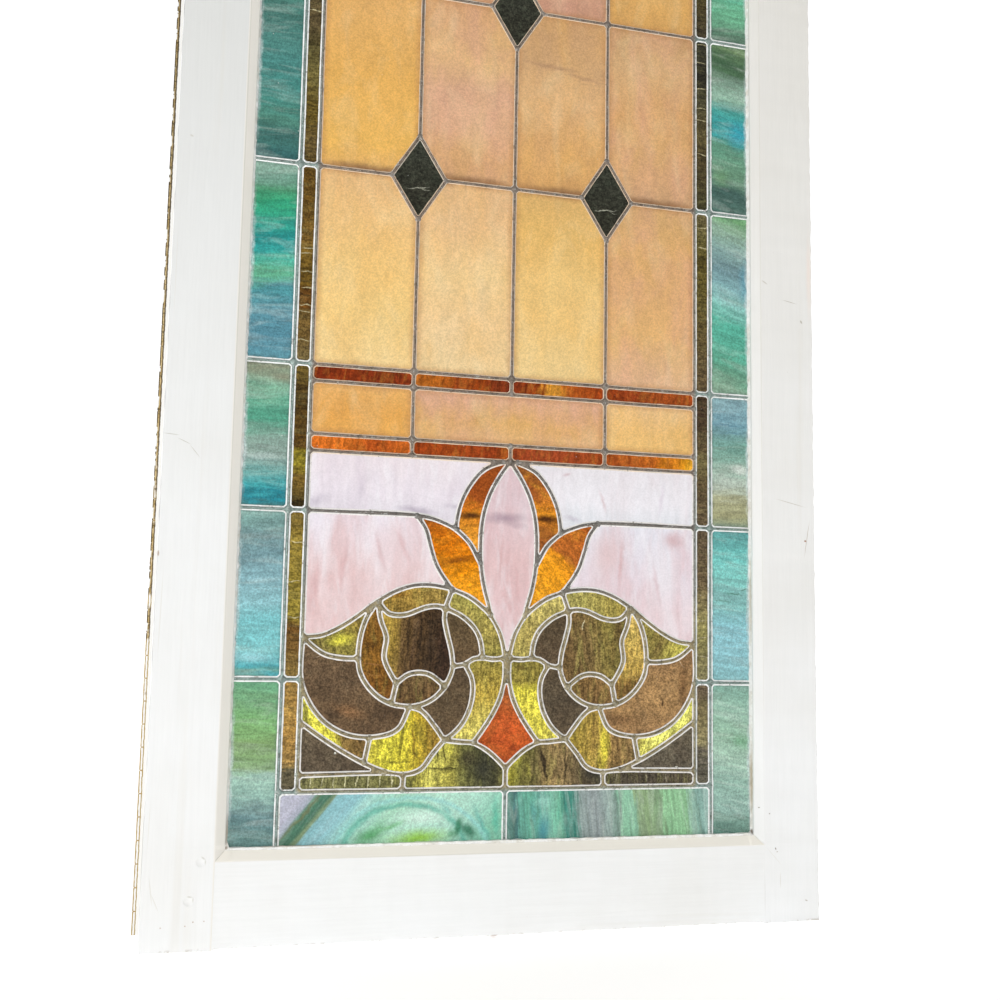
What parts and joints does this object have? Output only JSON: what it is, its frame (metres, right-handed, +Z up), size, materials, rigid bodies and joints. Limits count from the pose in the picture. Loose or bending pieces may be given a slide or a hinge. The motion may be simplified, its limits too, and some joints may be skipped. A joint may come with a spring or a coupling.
{
  "type": "leaded stained glass window",
  "caption": "Tall leaded stained glass panel with a tulip scroll ornament, amber panes and a green border, in a painted wooden sash.",
  "frame": {"origin": "middle of the sash's underside, halfway through its thickness", "axes": "+Z up the window, +X to the right seen from its front, +Y through it from the front face to the back"},
  "size_m": [0.6833, 0.035, 1.458],
  "materials": {
    "painted_wood": "old gloss paint, worn, over softwood",
    "putty": "dried linseed putty",
    "lead": "weathered lead came, soldered at the joints",
    "brass": "tarnished sheet metal",
    "green_opal": "streaky opalescent glass",
    "amber_opal": "wispy opalescent glass",
    "pink_opal": "milky opalescent glass",
    "orange_glass": "streaky opalescent glass",
    "red_glass": "streaky opalescent glass",
    "brown_glass": "dense streaky glass"
  },
  "bodies": {
    "root": {"amber_band_left": "amber_opal", "amber_band_middle": "amber_opal", "amber_band_right": "amber_opal", "amber_pane_row1_1": "amber_opal", "amber_pane_row1_2": "amber_opal", "amber_pane_row1_3": "amber_opal", "amber_pane_row1_4": "amber_opal", "amber_pane_row2_1": "amber_opal", "amber_pane_row2_2": "amber_opal", "amber_pane_row2_3": "amber_opal", "amber_pane_row2_4": "amber_opal", "amber_pane_row3_1": "amber_opal", "amber_pane_row3_2": "amber_opal", "amber_pane_row3_3": "amber_opal", "amber_pane_row3_4": "amber_opal", "amber_pane_row4_1": "amber_opal", "amber_pane_row4_2": "amber_opal", "amber_pane_row4_3": "amber_opal", "amber_pane_row4_4": "amber_opal", "back_putty": "putty", "bottom_rail": "painted_wood", "crescent_left": "brown_glass", "crescent_right": "brown_glass", "front_putty": "putty", "green_border_bottom_left": "green_opal", "green_border_bottom_right": "green_opal", "green_border_left_1": "green_opal", "green_border_left_2": "green_opal", "green_border_left_3": "green_opal", "green_border_left_4": "green_opal", "green_border_left_5": "green_opal", "green_border_left_6": "green_opal", "green_border_left_7": "green_opal", "green_border_right_1": "green_opal", "green_border_right_2": "green_opal", "green_border_right_3": "green_opal", "green_border_right_4": "green_opal", "green_border_right_5": "green_opal", "green_border_right_6": "green_opal", "green_border_right_7": "green_opal", "green_border_top_left": "green_opal", "green_border_top_right": "green_opal", "lead_came_network": "lead", "left_stile": "painted_wood", "metal_weatherstrip": "brass", "petal_inner_left": "orange_glass", "petal_inner_right": "orange_glass", "petal_outer_left": "orange_glass", "petal_outer_right": "orange_glass", "pink_bud": "pink_opal", "pink_lower_left": "pink_opal", "pink_lower_right": "pink_opal", "pink_upper_left": "pink_opal", "pink_upper_right": "pink_opal", "red_kite": "red_glass", "right_stile": "painted_wood", "top_rail": "painted_wood", "tulip_left": "brown_glass", "tulip_right": "brown_glass"}
  },
  "joints": []
}
